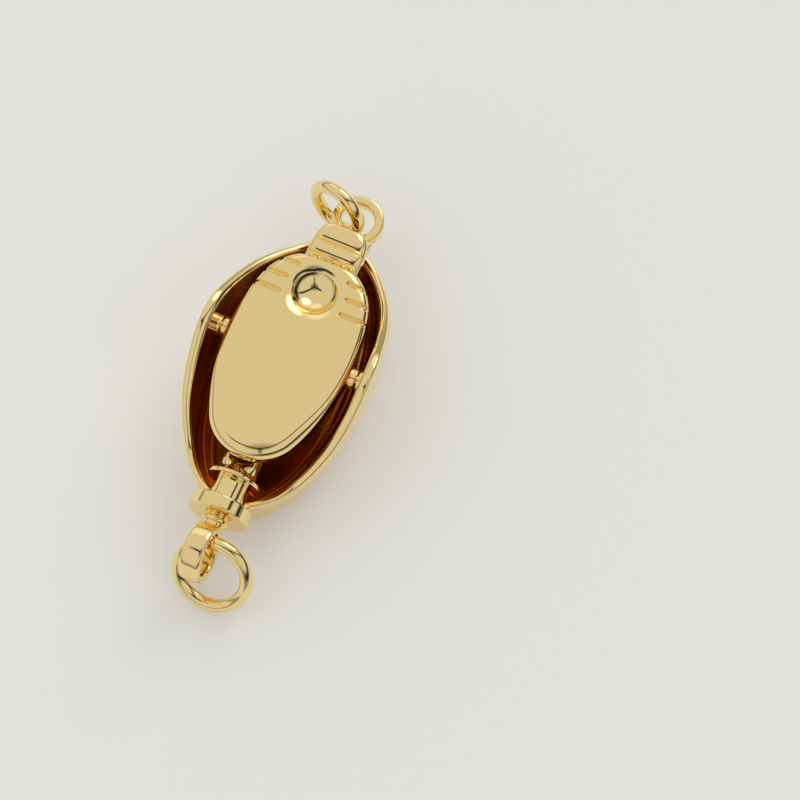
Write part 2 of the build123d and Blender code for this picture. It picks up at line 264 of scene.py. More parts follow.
# Floor
FLOOR_REACH = 3.0
FLOOR_WHITE = 0.92
FLOOR_ROUGHNESS = 0.9
FLOOR_GLOW = 0.15

# Tent of light: its colour and level, then each window by turn, rise, gain and where it starts and is full
TENT_COLOUR = (1.0, 0.985, 0.95)
TENT_LIGHT = 0.7
TENT_WINDOWS = ((55, 36, 1.6, (0.945, 0.985)), (95, 24, 0.25, (0.93, 0.985)))

# Dark patches of the tent. Each pair says at which reach along a direction a patch is nothing and at which
# it is full, a dip or lean says how its line runs, and each dark is the share of light that it takes away
OPENING = (0.94, 0.99)
OPENING_DARK = 0.6
SEAM_DIP = 0.36
SEAM_LEAN = 0.66
CROSS_SEAM = (0.11, 0.04)
CROSS_SEAM_START = (-0.5, -0.4)
CROSS_SEAM_END = (0.95, 0.8)
DOWN_SEAM = (0.07, 0.02)
DOWN_SEAM_START = (-0.3, -0.36)
DOWN_SEAM_END = (-0.95, -0.8)
SEAM_DARK = 0.93
DOWN_SEAM_DARK = 0.7
WEDGE_LEAN = 0.35
WEDGE_SIDE = (0.88, 0.95)
WEDGE_TOP = (0.5, 0.38)
WEDGE_DARK = 0.93
CORNER_SIDE = (0.3, 0.75)
CORNER_FOOT = (0.12, 0.22)
CORNER_TOP = (0.5, 0.3)
CORNER_DARK = 0.96
LINE_FOOT = (0.0, 0.03)
LINE_TOP = (0.3, 0.12)
LINE_DARK = 0.55


class Shader:
    """One node tree, with a short way to add nodes to it."""

    def __init__(self, tree):
        self.tree = tree
        tree.nodes.clear()

    def node(self, kind, settings=None, **sockets):
        """Node of a type, its settings set first, then its sockets by name."""
        made = self.tree.nodes.new(kind)
        for name, value in (settings or {}).items():
            setattr(made, name, value)
        for name, value in sockets.items():
            self.feed(made.inputs[name.replace("_", " ")], value)
        return made

    def feed(self, socket, value):
        """Links an expression or a socket, or sets a plain value."""
        if isinstance(value, Value):
            self.tree.links.new(value.socket, socket)
        elif isinstance(value, bpy.types.NodeSocket):
            self.tree.links.new(value, socket)
        else:
            socket.default_value = value

    def maths(self, operation, *terms):
        """Math node on values or sockets, as an expression."""
        made = self.tree.nodes.new("ShaderNodeMath")
        made.operation = operation
        for socket, term in zip(made.inputs, terms):
            self.feed(socket, term)
        return Value(self, made.outputs[0])

    def along(self, vector, axis):
        """How far a vector reaches along an axis."""
        made = self.node("ShaderNodeVectorMath", {"operation": "DOT_PRODUCT"})
        self.feed(made.inputs[0], vector)
        made.inputs[1].default_value = tuple(axis)
        return Value(self, made.outputs["Value"])

    def ramp(self, value, low, high):
        """Smooth rise from 0 to 1 as a value goes from low to high."""
        made = self.node("ShaderNodeMapRange", {"interpolation_type": "SMOOTHSTEP"})
        self.feed(made.inputs["Value"], value)
        made.inputs["From Min"].default_value = low
        made.inputs["From Max"].default_value = high
        return Value(self, made.outputs["Result"])


class Value:
    """A number socket that takes part in Python arithmetic."""

    def __init__(self, shader, socket):
        self.shader = shader
        self.socket = socket

    def __add__(self, other):
        return self.shader.maths("ADD", self, other)

    def __sub__(self, other):
        return self.shader.maths("SUBTRACT", self, other)

    def __rsub__(self, other):
        return self.shader.maths("SUBTRACT", other, self)

    def __mul__(self, other):
        return self.shader.maths("MULTIPLY", self, other)

    __radd__ = __add__
    __rmul__ = __mul__


def gold_material(name, colour, roughness):
    """Gold plate, its shine varied a little between two roughnesses by fine cloudy noise."""
    made = bpy.data.materials.new(name)
    made.use_nodes = True
    shader = Shader(made.node_tree)
    place = shader.node("ShaderNodeTexCoord")
    cloud = shader.node("ShaderNodeTexNoise", Vector=place.outputs["Object"], Scale=POLISH_SCALE)
    spread = roughness[1] - roughness[0]
    shine = Value(shader, cloud.outputs["Fac"]) * spread + roughness[0]
    surface = shader.node("ShaderNodeBsdfPrincipled", Metallic=1.0, Roughness=shine)
    surface.inputs["Base Color"].default_value = (*colour, 1.0)
    shader.node("ShaderNodeOutputMaterial", Surface=surface.outputs[0])
    return made


def add_surface(name, points, body, materials, bands=None, ring=False):
    """Closed mesh over a grid of points in millimetres. Columns run round. In a ring the rows run round too;
    otherwise a pole at the mean of the first row and of the last closes each end. Faces turn outward."""
    rows, columns = points.shape[:2]
    at = np.arange(rows * columns).reshape(rows, columns)
    low = at if ring else at[:-1]
    high = np.roll(at, -1, axis=0) if ring else at[1:]
    quads = np.stack([low, np.roll(low, -1, axis=1), np.roll(high, -1, axis=1), high], axis=-1)
    quads = quads.reshape(-1, 4)
    vertices = points.reshape(-1, 3)
    triangles = np.zeros((0, 3), dtype=int)
    if not ring:
        first, last = len(vertices), len(vertices) + 1
        ends = (points[0].mean(axis=0), points[-1].mean(axis=0))
        vertices = np.vstack([vertices, *[end[None] for end in ends]])
        nearest = np.stack([np.roll(at[0], -1), at[0], np.full(columns, first)], axis=-1)
        furthest = np.stack([at[-1], np.roll(at[-1], -1), np.full(columns, last)], axis=-1)
        triangles = np.vstack([nearest, furthest])
    halves = np.vstack([quads[:, :3], quads[:, [0, 2, 3]], triangles])
    corners = vertices[halves]
    volume = np.einsum("ij,ij->i", corners[:, 0], np.cross(corners[:, 1], corners[:, 2])).sum()
    if volume < 0:
        quads, triangles = quads[:, ::-1], triangles[:, ::-1]
    mesh = bpy.data.meshes.new(name)
    mesh.vertices.add(len(vertices))
    mesh.vertices.foreach_set("co", (vertices * MM).ravel())
    mesh.loops.add(quads.size + triangles.size)
    mesh.loops.foreach_set("vertex_index", np.concatenate([quads.ravel(), triangles.ravel()]))
    mesh.polygons.add(len(quads) + len(triangles))
    starts = np.concatenate([4 * np.arange(len(quads)), quads.size + 3 * np.arange(len(triangles))])
    mesh.polygons.foreach_set("loop_start", starts)
    if bands is not None:
        by_row = np.repeat(np.concatenate([bands, bands[[0, -1]]]), columns)
        mesh.polygons.foreach_set("material_index", by_row)
    for material in materials:
        mesh.materials.append(material)
    mesh.update(calc_edges=True)
    mesh.shade_smooth()
    work = bmesh.new()
    work.from_mesh(mesh)
    bmesh.ops.remove_doubles(work, verts=work.verts, dist=SAME_PLACE * MM)
    bmesh.ops.dissolve_degenerate(work, edges=work.edges, dist=SAME_PLACE * MM)
    work.to_mesh(mesh)
    work.free()
    piece = bpy.data.objects.new(name, mesh)
    bpy.context.scene.collection.objects.link(piece)
    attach(piece, body)
    return piece


def unit(vector):
    """Vector of length one."""
    return np.asarray(vector) / np.linalg.norm(vector)


def rising(value, low, high):
    """Smooth rise from 0 to 1: three times the square less twice the cube of the way from low to high."""
    way = np.clip((value - low) / (high - low), 0, 1)
    return way * way * (3 - 2 * way)


def quarter(distance, reach):
    """Height, from 0 to 1, of a quarter circle at a distance in from its foot, over a reach."""
    way = 1 - np.clip(distance / reach, 0, 1)
    return np.sqrt(1 - way * way)


def turns(count):
    """Angles all the way round."""
    return np.linspace(0, 2 * np.pi, count, endpoint=False)


def rounded_line(corners, rounds, steps=ARC_STEPS):
    """Line of straight stretches whose corners are circle arcs that touch both stretches."""
    corners = np.asarray(corners, dtype=float)
    line = [corners[:1]]
    for before, corner, after, radius in zip(corners, corners[1:], corners[2:], rounds):
        into, out = unit(before - corner), unit(after - corner)
        half = math.acos(np.clip(into @ out, -1, 1)) / 2
        reach = radius / math.tan(half)
        middle = corner + unit(into + out) * radius / math.sin(half)
        start, end = corner + into * reach - middle, corner + out * reach - middle
        share = np.linspace(0, 1, steps)[:, None]
        arc = start * (1 - share) + end * share
        line.append(middle + arc * radius / np.linalg.norm(arc, axis=1, keepdims=True))
    line.append(corners[-1:])
    return np.vstack(line)


def spaced(line, gap):
    """Line with points added so that no two stand further apart than a gap."""
    stretches = []
    for start, end in zip(line[:-1], line[1:]):
        count = max(1, math.ceil(np.linalg.norm(end - start) / gap))
        stretches.append(start + (end - start) * np.linspace(0, 1, count, endpoint=False)[:, None])
    return np.vstack([*stretches, line[-1:]])


def turned(profile, origin, axis, side, count):
    """Points of a profile (reach along an axis, radius) carried round that axis through an origin."""
    axis, side = unit(axis), unit(side)
    third = np.cross(axis, side)
    around = turns(count)[None, :, None]
    spoke = np.cos(around) * side + np.sin(around) * third
    return origin + profile[:, :1, None] * axis + profile[:, 1:, None] * spoke


def squared_round(count, half_first, half_second, squareness):
    """Superellipse: cosine and sine, each raised to a power with its sign kept, give the two reaches."""
    reaches = []
    for wave, half in ((np.cos(turns(count)), half_first), (np.sin(turns(count)), half_second)):
        reaches.append(np.sign(wave) * np.abs(wave) ** squareness * half)
    return reaches


def hoop(centre, normal, radius, half_width, half_height, squareness, points):
    """Ring about a normal with a superellipse as its section: circles of the radius plus the section's reach
    outward, each as high as the section there."""
    count, section = points
    normal = unit(normal)
    first = unit(np.cross(normal, (0.0, 0.0, 1.0) if abs(normal[2]) < UPRIGHT else (0.0, 1.0, 0.0)))
    second = np.cross(normal, first)
    around = turns(count)[:, None, None]
    spoke = np.cos(around) * first + np.sin(around) * second
    out, up = squared_round(section, half_width, half_height, squareness)
    return np.asarray(centre) + spoke * (radius + out)[None, :, None] + normal * up[None, :, None]


def bar(start, end, half_first, half_second, first, squareness):
    """Straight bar between two points with a superellipse section and slightly rounded ends."""
    start, end = np.asarray(start, dtype=float), np.asarray(end, dtype=float)
    length = np.linalg.norm(end - start)
    axis = unit(end - start)
    first = unit(first)
    second = np.cross(axis, first)
    rounds = (BAR_END_ROUND, BAR_END_ROUND)
    ends = [(0, 0), (0, 1), (length, 1), (length, 0)]
    profile = spaced(rounded_line(ends, rounds, BAR_ARC_STEPS), BAR_SPACING)
    one, two = squared_round(BAR_COLUMNS, half_first, half_second, squareness)
    shape = one[:, None] * first + two[:, None] * second
    return start + profile[:, :1, None] * axis + profile[:, 1:, None] * shape


def middle_of(node):
    """Middle of a solid's box at rest, in millimetres."""
    low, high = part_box(node)
    return (np.asarray(low) + np.asarray(high)) / 2 / MM


def rim_height(x, y):
    """Height of the rim at a place: level ends, a straight slope either way up to the peak, and circle arcs
    at the bends. The notch for the post is cut down to the lower half of a circle."""
    post_foot, eye_foot = POST_END_LEVEL - RIM_OVAL[1], RIM_OVAL[1] - EYE_END_LEVEL
    lean = (RIM_PEAK_HEIGHT - RIM_END_HEIGHT) / (eye_foot - HINGE_Y)
    peak = RIM_PEAK_HEIGHT + RIM_PEAK_RADIUS * (math.hypot(1, lean) - 1)
    side_line = [(-RIM_LINE_END, RIM_END_HEIGHT), (post_foot, RIM_END_HEIGHT), (HINGE_Y, peak),
                 (eye_foot, RIM_END_HEIGHT), (RIM_LINE_END, RIM_END_HEIGHT)]
    line = rounded_line(side_line, (RIM_FOOT_RADIUS, RIM_PEAK_RADIUS, RIM_FOOT_RADIUS), RIM_ARC_STEPS)
    height = np.interp(y, line[:, 0], line[:, 1])
    notch = POST_HEIGHT - np.sqrt(np.maximum(NOTCH_RADIUS ** 2 - x ** 2, 0))
    in_notch = (np.abs(x) < NOTCH_RADIUS) & (y < post_foot)
    return np.where(in_notch, np.minimum(height, notch), height)


def wall_oval(height):
    """Half width and half length of the leaning wall: the rim's oval drawn in as a power of the depth below
    the upright part."""
    depth = (WALL_UPRIGHT_HEIGHT - height) / (WALL_UPRIGHT_HEIGHT - SHOULDER_HEIGHT)
    way = np.clip(depth, 0, 1) ** WALL_CURVE
    return [rim + (shoulder - rim) * way for rim, shoulder in zip(RIM_OVAL, SHOULDER_OVAL)]


def wall_row(share, wall, around, foot, lift):
    """Row of the wall, at a share of the way from a foot to the foot of the ridge, inside the outer face by
    a share of the wall. Place and height follow each other, so both are worked out a few times over."""
    height = np.full_like(around, foot)
    for _ in range(RIM_TRIES):
        wide, long = wall_oval(height)
        x = (wide - wall * SIDE_WALL) * np.cos(around)
        y = (long - wall * END_WALL) * np.sin(around)
        height = foot + share * (rim_height(x, y) - RIDGE_HEIGHT - foot)
    return np.stack([x, y, height + lift], axis=-1)


def add_shell(gold, inside):
    """Cup as ovals stacked from the middle of the front face. The face rises as a parabola, the cushion and
    the shoulder turn as quarter circles, the ridge of the rim is a half wave that leans inward, and the bowl
    inside ends in a quarter ellipse and a flat floor. The outer end is flat where the collar sits."""
    around = turns(CUP_COLUMNS)
    wide, long = CUSHION_OVAL
    rows = []

    def oval_row(half_width, half_length, height):
        level = np.full_like(around, height)
        rows.append(np.stack([half_width * np.cos(around), half_length * np.sin(around), level], axis=-1))

    edge_insets = FACE_EDGE_INSET * np.cos(np.linspace(0, np.pi / 2, FACE_EDGE_ROWS))
    for inset in np.concatenate([np.linspace(*FACE_INSETS, FACE_ROWS), edge_insets]):
        across, along = wide * (1 - inset), long * (1 - inset)
        rise = DOME_RISE * (1 - inset) ** 2
        edge = CUSHION_ROUND * (1 - quarter(inset * wide, CUSHION_ROUND))
        oval_row(across, along, rise + edge)
    shoulder_foot = SHOULDER_HEIGHT + SHOULDER_ROUND
    step_out, step_along = SHOULDER_OVAL[0] - wide, SHOULDER_OVAL[1] - long
    for share in np.sin(np.linspace(0, np.pi / 2, SHOULDER_ROWS)):
        fall = SHOULDER_ROUND * quarter((1 - share) * step_out, SHOULDER_ROUND)
        oval_row(wide + step_out * share, long + step_along * share, shoulder_foot - fall)
    for share in np.linspace(WALL_FOOT_SHARE, 1, WALL_ROWS):
        rows.append(wall_row(share, 0, around, shoulder_foot, 0))
    for turn in np.linspace(0, np.pi, RIDGE_ROWS + 2)[1:-1]:
        across = ((1 - math.cos(turn)) / 2) ** RIDGE_LEAN
        rows.append(wall_row(1, across, around, shoulder_foot, RIDGE_HEIGHT * math.sin(turn)))
    outside_rows = len(rows)
    bowl_top = FLOOR_HEIGHT + BOWL_ROUND
    for share in np.linspace(1, 0, INNER_WALL_ROWS):
        rows.append(wall_row(share, 1, around, bowl_top, 0))
    brim = [half - wall for half, wall in zip(wall_oval(bowl_top), (SIDE_WALL, END_WALL))]
    for turn in np.linspace(0, np.pi / 2, BOWL_ROWS + 1)[1:]:
        across, along = [floor + (top - floor) * math.cos(turn) for floor, top in zip(FLOOR_OVAL, brim)]
        oval_row(across, along, bowl_top - BOWL_ROUND * math.sin(turn))
    for share in np.linspace(*FLOOR_SHARES, FLOOR_ROWS):
        oval_row(FLOOR_OVAL[0] * share, FLOOR_OVAL[1] * share, FLOOR_HEIGHT)
    points = np.stack(rows)
    x, y, z = np.moveaxis(points, -1, 0)
    near_collar = np.hypot(x, z - POST_HEIGHT) < COLLAR[2] + COLLAR_SEAT_GAP
    seat = near_collar & (y < -RIM_OVAL[1])
    points[..., 1] = np.where(seat, -RIM_OVAL[1], y)
    # The inner rows take the inside material, whose darker brown colour is painted shade for the hollow
    bands = (np.arange(len(points) - 1) >= outside_rows).astype(int)
    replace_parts(add_surface("shell_cup", points, "shell", [gold, inside], bands), "shell")


def add_hinge(gold):
    """Pin, bosses on the wall and on the lever, and the lever's ears: rounded lines turned about the hinge.
    A short bar runs from each ear up into the lever."""
    origin = np.array([0, HINGE_Y, HINGE_HEIGHT])
    reach = RIM_OVAL[0] + PIN_PROUD
    ends = [(-reach, 0), (-reach, PIN_RADIUS), (reach, PIN_RADIUS), (reach, 0)]
    pin = spaced(rounded_line(ends, (PIN_ROUND, PIN_ROUND)), PIN_SPACING)
    piece = add_surface("pin", turned(pin, origin, (1, 0, 0), (0, 1, 0), PIN_COLUMNS), "shell", [gold])
    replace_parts(piece, "hinge_pin")
    parts = (("wall_boss", SHELL_BOSS, BOSS_RADIUS, "shell"),
             ("lever_boss", LEVER_BOSS, BOSS_RADIUS, "lever"),
             ("lever_ear", EAR, EAR_RADIUS, "lever"))
    for name, (inner, outer), radius, body in parts:
        ends = [(inner, 0), (inner, radius), (outer, radius), (outer, 0)]
        profile = spaced(rounded_line(ends, (BOSS_ROUND, BOSS_ROUND)), BOSS_SPACING)
        for side, suffix in ((-1, "left"), (1, "right")):
            round_part = turned(profile, origin, (side, 0, 0), (0, 1, 0), BOSS_COLUMNS)
            add_surface(f"{name}_{suffix}", round_part, body, [gold])
    for side, suffix in ((-1, "left"), (1, "right")):
        middle = side * (EAR[0] + EAR[1]) / 2
        foot, top = (middle, HINGE_Y, EAR_WEB_FOOT), (middle, HINGE_Y, EAR_WEB_TOP)
        web = bar(foot, top, SKIRT_WALL / 2, EAR_WEB_HALF, (1, 0, 0), WEB_SQUARENESS)
        add_surface(f"lever_web_{suffix}", web, "lever", [gold])


def lever_arcs():
    """Centres of the lever's nose, side and shoulder circles, with the side's radius before the last: the
    nose and the shoulder touch the side from inside, and the shoulder passes through the lever's root."""
    nose = np.array([0, LEVER_NOSE_Y + LEVER_NOSE_RADIUS])
    slack = LEVER_HALF_WIDTH - LEVER_NOSE_RADIUS
    drop = HINGE_Y - nose[1]
    side_radius = (LEVER_HALF_WIDTH ** 2 + drop ** 2 - LEVER_NOSE_RADIUS ** 2) / (2 * slack)
    side = np.array([LEVER_HALF_WIDTH - side_radius, HINGE_Y])
    root = np.array(LEVER_ROOT)
    reach = side_radius - LEVER_SHOULDER_RADIUS
    span = np.linalg.norm(root - side)
    along = (reach ** 2 - LEVER_SHOULDER_RADIUS ** 2 + span ** 2) / (2 * span)
    aside = math.sqrt(reach ** 2 - along ** 2)
    way = unit(root - side)
    shoulder = side + along * way + aside * np.array([way[1], -way[0]])
    return nose, side, side_radius, shoulder


def lever_depth(x, y):
    """How far a place lies inside the lever's plan: a circle's radius less the way from its centre, with the
    circle chosen by the angle seen from the side circle's centre."""
    nose, side, side_radius, shoulder = lever_arcs()
    x = np.abs(x)

    def inside(centre, radius):
        return radius - np.hypot(x - centre[0], y - centre[1])

    angle = np.arctan2(y - side[1], x - side[0])
    low, high = [math.atan2(*(centre - side)[::-1]) for centre in (nose, shoulder)]
    rounds = np.where(angle > high, inside(shoulder, LEVER_SHOULDER_RADIUS), inside(side, side_radius))
    return np.maximum(np.where(angle < low, inside(nose, LEVER_NOSE_RADIUS), rounds), 0)


def lever_half_width(y):
    """Half width of the lever's plan at a place along it, from the circle that holds there."""
    nose, side, side_radius, shoulder = lever_arcs()

    def reach(centre, radius):
        return centre[0] + np.sqrt(np.maximum(radius ** 2 - (y - centre[1]) ** 2, 0))

    low = nose[1] + LEVER_NOSE_RADIUS * unit(nose - side)[1]
    high = shoulder[1] + LEVER_SHOULDER_RADIUS * unit(shoulder - side)[1]
    upper = np.where(y > high, reach(shoulder, LEVER_SHOULDER_RADIUS), reach(side, side_radius))
    return np.where(y < low, reach(nose, LEVER_NOSE_RADIUS), upper)


def rolled(distance, reach, slope):
    """Drop of a parabola that starts level at a reach from an edge and has the given slope at the edge."""
    return slope / (2 * reach) * np.maximum(reach - distance, 0) ** 2


def ball_radius(half_width, depth):
    """Radius of the ball whose cap has a half width and a depth: their squares over twice the depth."""
    return (half_width ** 2 + depth ** 2) / (2 * depth)


def bowl_height(x, y, wall=0.0):
    """Height of the lower half of the ball that presses the dimple, grown by a wall. Beside the ball the
    height is one above its middle."""
    pressed = ball_radius(DIMPLE_RADIUS, DIMPLE_BOWL)
    ball = pressed + wall
    away = np.hypot(x, y - DIMPLE_Y)
    middle = LEVER_TOP - DIMPLE_LIP * DIMPLE_LIP_SLOPE / 2 - DIMPLE_BOWL + pressed
    return middle - np.sqrt(np.maximum(ball ** 2 - away ** 2, 0)) + np.where(away < ball, 0, 1)


def lever_height(x, y):
    """Top of the cap: a parabola's faint crown and its droop at the nose, edges that fall as a quarter circle,
    and a ball's dimple with a parabola's lip. The three grooves each side are as deep as one less the square
    of the way off their line, to a power."""
    depth = lever_depth(x, y)
    droop = rolled(depth, DROOP_REACH, DROOP_SLOPE) * rising(-y, -DROOP_PLACE[0], -DROOP_PLACE[1])
    height = LEVER_TOP - LEVER_CROWN * (x / LEVER_HALF_WIDTH) ** 2 - droop
    height = height - EDGE_DROP * (1 - quarter(depth, EDGE_REACH))
    height = height - ROOT_ROUND * (1 - quarter(LEVER_ROOT[1] - y, ROOT_ROUND))
    away = np.hypot(x, y - DIMPLE_Y)
    lip = height - rolled(away - DIMPLE_RADIUS, DIMPLE_LIP, DIMPLE_LIP_SLOPE)
    height = np.where(away > DIMPLE_RADIUS, lip, np.minimum(height, bowl_height(x, y)))
    for row, inner in enumerate(GROOVE_INNER_X):
        short = np.maximum(inner + GROOVE_HALF_WIDTH - np.abs(x), 0)
        away = np.hypot(short, y - GROOVE_FIRST_Y - row * GROOVE_PITCH) / GROOVE_HALF_WIDTH
        height = height - GROOVE_DEPTH * np.maximum(1 - away ** 2, 0) ** GROOVE_POWER
    return height


def add_lever_cap(gold):
    """Hollow cap in rows along Y, each carried over the top, down the skirt and back across the underside.
    The top's columns stand as a sine across the width, and the inside rises smoothly off the skirt."""
    nose = LEVER_NOSE_Y + NOSE_LENGTH * (1 - np.cos(np.linspace(0, np.pi / 2, NOSE_ROWS)))
    plain = np.linspace(nose[-1], DETAIL_FROM_Y, PLAIN_ROWS + 1)[1:]
    detailed = np.linspace(DETAIL_FROM_Y, LEVER_ROOT[1] - ROOT_ROUND, DETAIL_ROWS + 1)[1:]
    edge = LEVER_ROOT[1] - ROOT_ROUND * (1 - np.sin(np.linspace(0, np.pi / 2, ROOT_ROWS + 1)))[1:]
    along = np.concatenate([nose, plain, detailed, edge])[:, None]
    wide = lever_half_width(along)
    over = wide * np.sin(np.linspace(-np.pi / 2, np.pi / 2, LEVER_COLUMNS))
    top = lever_height(over, along)
    down = np.linspace(0, 1, SKIRT_COLUMNS + 1)[1:]
    skirt = top[:, -1:] * (1 - down) + LEVER_LOW * down
    insets = SKIRT_WALL + np.array([-SKIRT_ROW_GAP, 0, SKIRT_ROW_GAP, SKIRT_STEP])
    near = np.maximum(wide - insets, 0)
    far = near[:, -1:] * np.linspace(HOLLOW_REACH, -HOLLOW_REACH, HOLLOW_COLUMNS)
    under = np.concatenate([near, far, -near[:, ::-1]], axis=1)
    ceiling = np.minimum(LEVER_TOP - PLATE, bowl_height(under, along, DIMPLE_WALL))
    depth = lever_depth(under, along)
    depth = np.minimum(depth, LEVER_ROOT[1] - along)
    below = LEVER_LOW + (ceiling - LEVER_LOW) * rising(depth, SKIRT_WALL, SKIRT_WALL + SKIRT_STEP)
    side = np.repeat(wide, len(down), axis=1)
    x = np.concatenate([over, side, under, -side], axis=1)
    z = np.concatenate([top, skirt, below, skirt[:, ::-1]], axis=1)
    points = np.stack([x, along + 0 * x, z], axis=-1)
    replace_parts(add_surface("lever_cap", points, "lever", [gold]), "lever")


def add_lever_tab(gold):
    """Tab in rows along Y: a plate whose edge falls as a quarter circle, with two pillow ribs on it. The ribs
    fall as parabolas at their near edges and round the plate, and the first has a quarter circle at its far
    edge. The knurl in the groove before them is a cosine across."""
    corner = TAB_END - TAB_CORNER
    straight = np.linspace(TAB_START, corner, TAB_ROWS)
    bend = corner + TAB_CORNER * np.sin(np.linspace(0, np.pi / 2, TAB_CORNER_ROWS + 1))[1:]
    along = np.concatenate([straight, bend])[:, None]
    past = np.maximum(along - corner, 0)
    wide_at_end = TAB_HALF_WIDTH - TAB_TAPER * rising(along, *TAB_TAPER_PLACE)
    wide = wide_at_end - TAB_CORNER + np.sqrt(np.maximum(TAB_CORNER ** 2 - past ** 2, 0))
    over = wide * np.sin(np.linspace(-np.pi / 2, np.pi / 2, TAB_COLUMNS))
    beyond = np.maximum(np.abs(over) - (wide_at_end - TAB_CORNER), 0)
    round_corner = TAB_CORNER - np.hypot(beyond, past)
    inset = np.where(past > 0, round_corner, wide - np.abs(over))
    rib = np.zeros_like(inset)
    side_roll = rolled(inset - RIB_INSET, RIB_ROLL, RIB_SLOPE)
    for start, end in RIBS:
        within = (along > start) & (along < end) & (inset > RIB_INSET)
        rise = RIB_RISE - side_roll - rolled(along - start, RIB_ROLL, RIB_SLOPE)
        rib = np.where(within, rise * quarter(end - along, RIB_FAR_ROUND), rib)
    knurl_y, knurl_half = KNURL_PLACE
    knurl = rising(knurl_half - np.abs(along - knurl_y), 0, knurl_half)
    knurl = knurl * np.cos(2 * np.pi * over / KNURL_PITCH)
    knurl = knurl * rising(inset, RIB_INSET, 2 * RIB_INSET)
    foot = TAB_TOP - TAB_EDGE_DROP
    top = foot + TAB_EDGE_DROP * quarter(inset, TAB_EDGE) + rib + KNURL_RISE * knurl
    down = np.linspace(0, 1, TAB_SKIRT_COLUMNS + 1)[1:]
    skirt = top[:, -1:] * (1 - down) + TAB_LOW * down
    under = wide * np.linspace(1, -1, TAB_UNDER_COLUMNS + 2)[1:-1]
    side = np.repeat(wide, len(down), axis=1)
    x = np.concatenate([over, side, under, -side], axis=1)
    z = np.concatenate([top, skirt, TAB_LOW + 0 * under, skirt[:, ::-1]], axis=1)
    add_surface("lever_tab", np.stack([x, along + 0 * x, z], axis=-1), "lever", [gold])


def add_post(gold):
    """Post turned about its own line: head, an exponential flare to a thin flange, shaft, collar, neck and
    bead. The head is then squared as a superellipse, and scooped by a round bar that stands along Z."""
    flange_out, flange_in, flange = FLANGE
    collar_out, collar_in, collar = COLLAR
    bead_out, bead_in, bead = BEAD
    neck_end = POST_EYE_Y + POST_EYE_RADII[0] + NECK_SINK
    head_y, head = HEAD_END
    flare = np.linspace(head_y - FLARE_FOOT, flange_in, FLARE_ROWS)
    spread = head + (flange - head) * np.exp((flange_in - flare) / FLARE_REACH)
    front = [(head_y, 0), (head_y, head)]
    front = rounded_line([*front, (flare[1], spread[1])], (SCOOP_LIP,))[:-1]
    steps = rounded_line(
        [(flange_in, flange), (flange_out, flange), (flange_out, SHAFT_RADIUS),
         (collar_in, SHAFT_RADIUS), (collar_in, collar), (collar_out, collar), (collar_out, NECK_RADIUS),
         (bead_in, NECK_RADIUS), (bead_in, bead), (bead_out, bead), (bead_out, NECK_RADIUS),
         (neck_end, NECK_RADIUS), (neck_end, 0)],
        (*FLANGE_ROUNDS, *COLLAR_ROUNDS, *BEAD_ROUNDS, NECK_END_ROUND))
    line = spaced(np.vstack([front, np.stack([flare, spread], axis=-1)[1:], steps[1:]]), POST_SPACING)
    points = turned(line, np.array([0, 0, POST_HEIGHT]), (0, 1, 0), (1, 0, 0), POST_COLUMNS)
    squareness = 1 - (1 - HEAD_SQUARENESS) * rising(points[..., 1], *HEAD_SQUARE_START)
    away = points[..., [0, 2]] - np.array([0, POST_HEIGHT])
    radius = np.maximum(np.linalg.norm(away, axis=-1), NO_WAY)[..., None]
    squared = np.sign(away) * (np.abs(away) / radius) ** squareness[..., None] * radius
    points[..., 0], points[..., 2] = squared[..., 0], squared[..., 1] + POST_HEIGHT
    scoop = ball_radius(head - SCOOP_LIP, SCOOP_DEPTH)
    x = np.minimum(np.abs(points[..., 0]), scoop)
    face = head_y - SCOOP_DEPTH + scoop - np.sqrt(np.maximum(scoop ** 2 - x ** 2, 0))
    points[..., 1] = np.minimum(points[..., 1], face)
    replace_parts(add_surface("post_stem", points, "post", [gold]), "swivel_post")
    turn = math.radians(POST_EYE_TURN_DEG)
    normal = (math.cos(turn), 0, math.sin(turn))
    add_eye("post_eye", (0, POST_EYE_Y, POST_HEIGHT), normal, POST_EYE_RADII, POST_EYE_HALF, "post", gold)


def add_eye(name, centre, normal, radii, half_height, body, gold):
    """Drilled eye: a ring whose section is a superellipse close to a block."""
    inner, outer = radii
    middle, half_width = (inner + outer) / 2, (outer - inner) / 2
    points = hoop(centre, normal, middle, half_width, half_height, EYE_SQUARENESS, EYE_POINTS)
    add_surface(name, points, body, [gold], ring=True)


def add_fixed_eye(gold):
    """Flat eye on a short neck soldered to the far end of the shell."""
    centre = (0, FIXED_EYE_Y, POST_HEIGHT)
    add_eye("fixed_eye", centre, (0, 0, 1), FIXED_EYE_RADII, FIXED_EYE_HALF, "shell", gold)
    start = (0, RIM_OVAL[1] - END_WALL, POST_HEIGHT)
    end = (0, FIXED_EYE_Y - FIXED_EYE_RADII[0] - NECK_OVERLAP, POST_HEIGHT)
    neck = bar(start, end, FIXED_EYE_NECK, FIXED_EYE_HALF, (1, 0, 0), NECK_SQUARENESS)
    add_surface("fixed_eye_neck", neck, "shell", [gold])


def add_ring(name, node, radius, normal, body, gold):
    """Round wire ring in the place of its solid: a circle carried round a circle."""
    points = hoop(middle_of(node), normal, radius, RING_WIRE_RADIUS, RING_WIRE_RADIUS, ROUND, RING_POINTS)
    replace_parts(add_surface(name, points, body, [gold], ring=True), node)


def camera_axes():
    """Right, up and backward directions of the camera, turned as the picture is."""
    aside, along = CAMERA_TOWARDS
    back = Vector((aside, along, math.sqrt(1 - aside ** 2 - along ** 2)))
    up = (Vector((0, 1, 0)) - along * back).normalized()
    right = up.cross(back)
    cosine, sine = math.cos(math.radians(CAMERA_TURN_DEG)), math.sin(math.radians(CAMERA_TURN_DEG))
    return cosine * right + sine * up, cosine * up - sine * right, back


